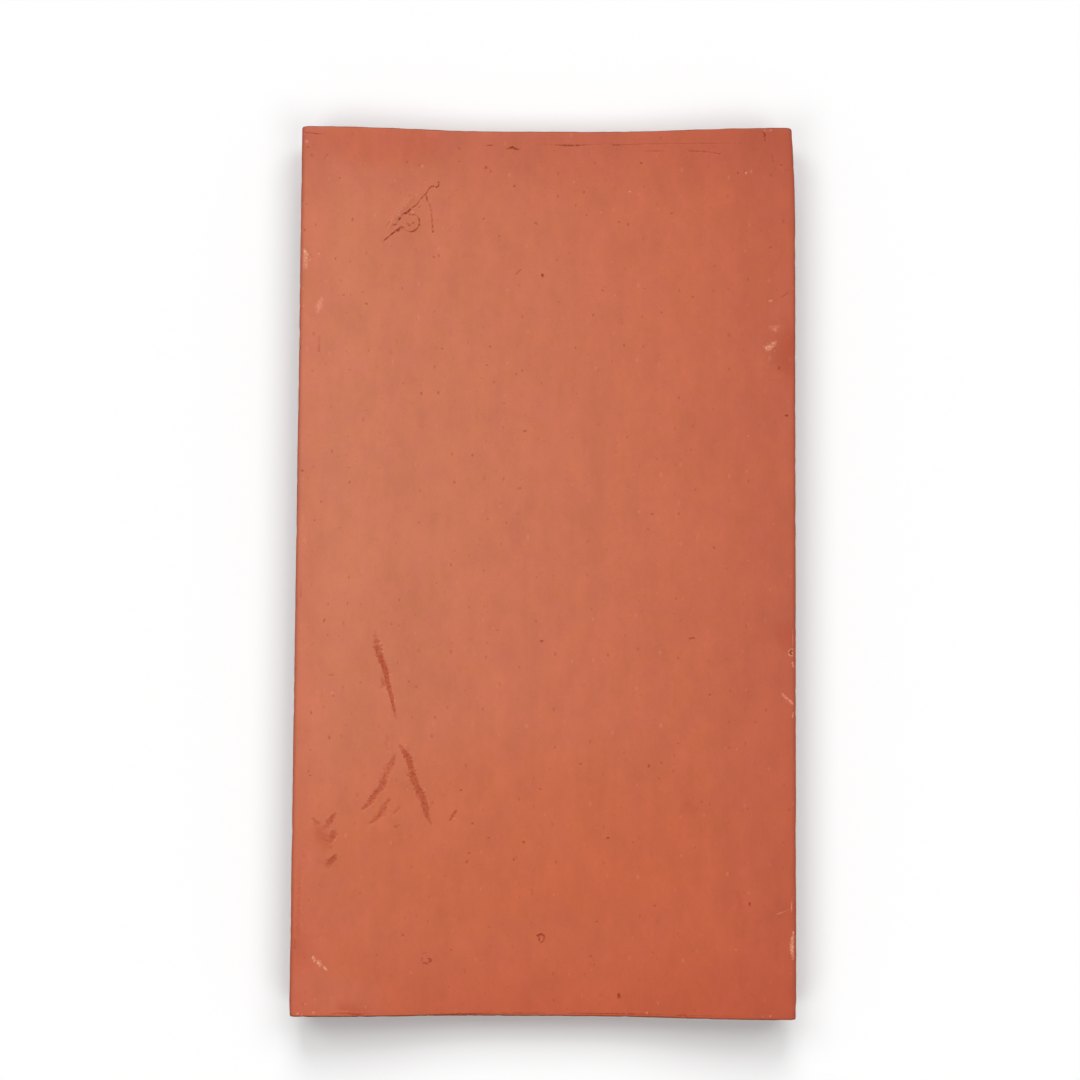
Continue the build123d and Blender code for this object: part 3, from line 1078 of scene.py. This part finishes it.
# %% Mottling, streaks and grain
mottle = board.noise(board.vector("MULTIPLY", place, (1, 0.6, 1)), 8 * MM, detail=5, roughness=0.75)
tint = board.noise(board.vector("ADD", place, (0.4, 0.2, 0)), 9 * MM, detail=4, roughness=0.7)
clouds = board.noise(board.vector("MULTIPLY", place, (1, 0.45, 1)), 14 * MM, detail=2)
streak = board.noise(board.vector("MULTIPLY", place, (1, 0.03, 1)), 3 * MM, detail=3)
grain = board.noise(place, 0.7 * MM, detail=2)
shade = 1 + (mottle - 0.5) * 0.30 + (clouds - 0.5) * 0.16 + (streak - 0.5) * 0.05 + (grain - 0.5) * 0.06
colour = board.mix(1.0, colour, grey(shade), "MULTIPLY")
warm = board.mix(tint, (1.00, 1.04, 0.84, 1), (1.00, 0.96, 1.16, 1))
colour = board.mix(1.0, colour, warm, "MULTIPLY")
fleck = board.smooth(board.noise(place, 1.6 * MM, detail=3), 0.64, 0.80)
colour = board.mix(fleck * 0.3, colour, paint(164, 72, 48))
board.report("fired clay, with its mottling and grain")

# %% Faint specks
def specks(shift, size):
    """Small spots all over, one in each cell of a loose pattern, some large and some next to nothing."""
    where = board.vector("MULTIPLY_ADD", place, (1, 0.6, 1), shift)
    sockets = {"Vector": where, "Scale": 1 / size}
    cell = board.add("ShaderNodeTexVoronoi", {"voronoi_dimensions": "2D"}, sockets, out="Distance")
    draw = board.add("ShaderNodeSeparateColor", {}, {0: cell.output("Color")})
    radius = 0.03 + 0.07 * draw.output("Green")
    return board.smooth(cell * (0.2 + 1.6 * fine), radius, radius * 0.2) * draw ** 2


fine = board.noise(place, 0.6 * MM, detail=2)
colour = board.mix(specks((0.1, 0.3, 0), 7 * MM) * 0.75, colour, paint(164, 78, 52))
colour = board.mix(specks((0.7, 0.1, 0), 9 * MM) * 0.25, colour, paint(226, 148, 118))
board.report("fired clay, with its specks")

# %% [markdown]
# ## Cut sides and sanded underside
#
# The wire that cut the sides dragged the clay and tore it here and there. The rounded edges and the ends
# are painted darker and redder, which is painted shade where they turn away from the light. The underside
# is dusted with sand. Painting each side by hand would need an unwrapped map. The two numbers that were
# kept on the flat bat do without one, because they say of every point how far it faces sideways or down.

# %% Edges and sides
broken = (board.noise(place, 1.2 * MM, detail=4, roughness=0.7) - 0.5) * 1.6
# Painted shade: a dark line along the ends, deeper at the tail, where the end turns from the light.
end_shade = board.smooth(abs(y), 178.5 * MM, 179.7 * MM) * board.smooth(y, 50 * MM, -50 * MM, 0.5, 0.65)
rounded = board.smooth(mask("cut_side"), 0.06, 0.34)
turned = board.smooth(mask("cut_side") + end_shade, 0.46, 0.80)
drag = board.noise(board.vector("MULTIPLY", place, (0.05, 0.05, 1)), 1.5 * MM, detail=4, roughness=0.7)
torn_where = board.vector("MULTIPLY", place, (0.4, 0.4, 1))
torn = board.smooth(board.noise(torn_where, 2.5 * MM, detail=4, roughness=0.65), 0.56, 0.70)
side_clay = board.mix(tint, paint(130, 74, 52), paint(152, 74, 56))
side_clay = board.mix(1.0, side_clay, grey(0.55 + 0.9 * drag), "MULTIPLY")
side_clay = board.mix(torn * 0.6, side_clay, paint(88, 46, 32))
# Painted shade: dark brown on the rounded edges, where they turn from the light.
arris_shade = board.mix(tint, paint(104, 62, 42), paint(132, 60, 44))
flat_side = board.smooth(mask("cut_side"), 0.80, 0.97)
# Painted shade: the rounded edges a little darker and redder.
colour = board.mix(rounded * (0.35 + broken), colour, paint(188, 78, 56))
colour = board.mix(turned * 0.9, colour, board.mix(flat_side, arris_shade, side_clay))
board.report("fired clay, with its sides")

# %% Underside
below = mask("underside")
sand = board.noise(place, 0.9 * MM, detail=3, roughness=0.7)
patches = board.smooth(board.noise(place, 18 * MM, detail=4, roughness=0.6), 0.40, 0.62)
colour = board.mix(below * (0.2 + 0.4 * patches), colour, paint(206, 138, 104))
colour = board.mix(below * board.smooth(sand, 0.54, 0.66) * 0.5, colour, paint(226, 176, 138))
colour = board.mix(below * board.smooth(sand, 0.44, 0.34) * 0.6, colour, paint(136, 62, 42))
board.report("fired clay, with its underside")

# %% [markdown]
# ## Colour in the marks
#
# A mark shows more by its colour than by its depth. The strokes are redder and darker, because the smooth
# skin is broken there. The creases, struck lines and pits are painted darker as well: painted shade in
# their hollows. Pale specks on the clay pushed up round a mark are a painted highlight where it catches
# the light. Chips and grit are paler, and so are the scuff marks, with painted highlights among them. The
# numbers that the press group kept tell where each is, and fine noise frays its outline, because a clean
# edge would look printed. The marks come last, because some of them run over the edges.

# %% Strokes, creases and pits
speck = board.smooth(board.noise(place, 0.9 * MM, detail=2), 0.52, 0.70)
dashes = board.smooth(board.noise(place, 1.5 * MM, detail=2), 0.40, 0.56)


def ragged(name, softness):
    """A mask whose edge is broken up by fine noise."""
    return board.smooth(mask(name) * (1 + broken), 0.5 - softness, 0.5 + softness)


def lip(name):
    """The clay that was pushed up round a mark."""
    return board.largest(-mask(name), 0)


pale_clay_and_highlight = board.mix(tint, paint(222, 160, 116), paint(238, 160, 134))
swollen = board.smooth(lip("swells"), 0.4, 0.9)
stroked = ragged("strokes", 0.45)
crease_shade = ragged("creases", 0.45)
colour = board.mix(board.largest(mask("swells"), 0) * (0.8 + broken), colour, paint(178, 78, 50))
colour = board.mix(swollen * fleck * 0.8, colour, paint(168, 74, 46))
# Pale specks on the raised clay of the fold: torn clay, and a painted highlight where it catches the light.
colour = board.mix(swollen * speck * 0.5, colour, pale_clay_and_highlight)
colour = board.mix(stroked * (0.75 + 1.1 * broken), colour, paint(172, 74, 46))
colour = board.mix(stroked * stroked * speck * 0.4, colour, paint(150, 56, 32))
# Painted shade in the creases and in the struck lines along the ends, broken into dashes.
colour = board.mix(crease_shade * (0.20 + 0.80 * dashes), colour, paint(154, 63, 37))
# Painted shade: the pits and dark spots are painted darker in their hollows.
colour = board.mix(ragged("dots", 0.45) * 0.8, colour, paint(154, 62, 36))
colour = board.mix(ragged("pits", 0.45) * 0.5, colour, paint(156, 66, 42))
# Painted highlight: pale specks on the clay pushed up round strokes and creases, where it catches the
# light.
colour = board.mix(lip("strokes") * speck * 0.4, colour, pale_clay_and_highlight)
colour = board.mix(lip("creases") * speck * 0.4, colour, pale_clay_and_highlight)
board.report("fired clay, with its strokes and pits")

# %% Chips, scuff marks with painted highlights, and grit
chipped = ragged("chips", 0.45)
scuff_and_highlight_mask = ragged("scuffs", 0.48)
colour = board.mix(chipped * (0.5 + broken), colour, pale_clay_and_highlight)
colour = board.mix(chipped * speck * 0.8, colour, paint(246, 188, 154))
# Paler scuff marks, and painted highlights on the right edge, the fold and the foot print.
colour = board.mix(scuff_and_highlight_mask * (0.6 + broken), colour, paint(228, 140, 118))
colour = board.mix(scuff_and_highlight_mask * scuff_and_highlight_mask * speck * 0.5, colour, paint(240, 168, 146))
colour = board.mix(ragged("grit", 0.45) * 0.5, colour, pale_clay_and_highlight)
board.report("fired clay, with its chips and scuffs")

# %% Clay grain and gloss
height = grain * (0.05 * MM) + mottle * (0.2 * MM) + streak * (0.02 * MM)
height = height + turned * (drag - torn) * (0.3 * MM) + below * sand * (0.3 * MM)
bump = board.add("ShaderNodeBump", {}, {"Strength": 1.0, "Distance": 1.0, "Height": height})
surface = board.add("ShaderNodeBsdfPrincipled", {}, {
    "Base Color": colour, "Roughness": 0.85, "Specular IOR Level": 0.25, "Normal": bump,
})
board.add("ShaderNodeOutputMaterial", {}, {"Surface": surface})
board.report("fired clay")

# %% [markdown]
# ## Into the frame
#
# The tile is one rigid piece with nothing that moves on it. So its mesh rides the root body, and it
# stands for the node that was packed.

# %% Hand the tile to its body
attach(tile, "root")
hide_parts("tile")
print("the tile is one piece,", len(tile_mesh.vertices), "points")

# %% [markdown]
# ## Floor
#
# The floor is white paper. To the camera it is brighter than to the light that bounces off it, so that
# it is plain white and keeps only the soft shadow. Seen from below it is clear, so that it doesn't hide
# the tile in a view from under it.

# %% Floor
PAPER_BOUNCE = 0.45
floor_mesh = bpy.data.meshes.new("floor")
far = 8.0
sunk = -0.2 * MM
corners = [(-far, -far, sunk), (far, -far, sunk), (far, far, sunk), (-far, far, sunk)]
floor_mesh.from_pydata(corners, [], [(0, 1, 2, 3)])
floor = new_object("floor", floor_mesh)
paper = bpy.data.materials.new("white_paper")
paper.use_nodes = True
paper.node_tree.nodes.clear()
floor_mesh.materials.append(paper)


def seen_by_camera(board):
    """1 for rays from the camera, and for their mirror and clear continuations."""
    ray = board.add("ShaderNodeLightPath", out="Is Camera Ray")
    return board.largest(ray, board.largest(ray.output("Is Glossy Ray"), ray.output("Is Transmission Ray")))


board = Board(paper.node_tree)
matt = board.add("ShaderNodeBsdfDiffuse", {}, {
    "Color": board.mix(seen_by_camera(board), (PAPER_BOUNCE, PAPER_BOUNCE, PAPER_BOUNCE, 1), (1, 1, 1, 1)),
})
from_under = board.add("ShaderNodeNewGeometry", out="Backfacing")
clear = board.add("ShaderNodeBsdfTransparent")
surface = board.add("ShaderNodeMixShader", {}, {0: from_under, 1: matt, 2: clear})
board.add("ShaderNodeOutputMaterial", {}, {"Surface": surface})
print(f"the floor gives back {PAPER_BOUNCE:.0%} of its light to the tile")

# %% [markdown]
# ## Light
#
# Five soft boxes stand round the tile, high up, with the strongest at its head. One lamp overhead would
# leave almost no shadow. A ring of them leaves a soft grey rim all round the tile, deeper at the tail.
# They are suns, which light every part of the tile alike, and each is as wide as a soft box looks. A
# faint white sky fills in the rest. Together they light a level face at a plain level, where a colour
# looks as it is written.

# %% Sky
SKY_LEVEL = 0.2
world = bpy.data.worlds.new("white_sky")
scene.world = world
world.use_nodes = True
world.node_tree.nodes.clear()
board = Board(world.node_tree)
sky = board.add("ShaderNodeBackground", {}, {"Color": (1, 1, 1, 1), "Strength": SKY_LEVEL})
backdrop = board.add("ShaderNodeBackground", {}, {"Color": (1, 1, 1, 1), "Strength": 1.0})
both = board.add("ShaderNodeMixShader", {}, {0: seen_by_camera(board), 1: sky, 2: backdrop})
board.add("ShaderNodeOutputWorld", {}, {"Surface": both})
print(f"the sky gives {SKY_LEVEL:.0%} of the light on a level face")

# %% Soft boxes
LOOKS_WIDE = radians(28)
soft_boxes = {
    "head_left": (38, 135, 0.15),
    "head_right": (38, 45, 0.15),
    "tail_left": (38, 225, 0.125),
    "tail_right": (38, 315, 0.125),
    "head": (50, 90, 0.25),
}
for name, (lean, bearing, level) in soft_boxes.items():
    lamp = bpy.data.lights.new(name, "SUN")
    lamp.angle = LOOKS_WIDE
    lamp.energy = level * pi / cos(radians(lean))
    new_object(name, lamp).rotation_euler = (0, radians(lean), radians(bearing))
    print(f"soft box {name}: {lean} degrees off the vertical, {lamp.energy:.2f} W/m2")
scene.view_settings.view_transform = "Standard"
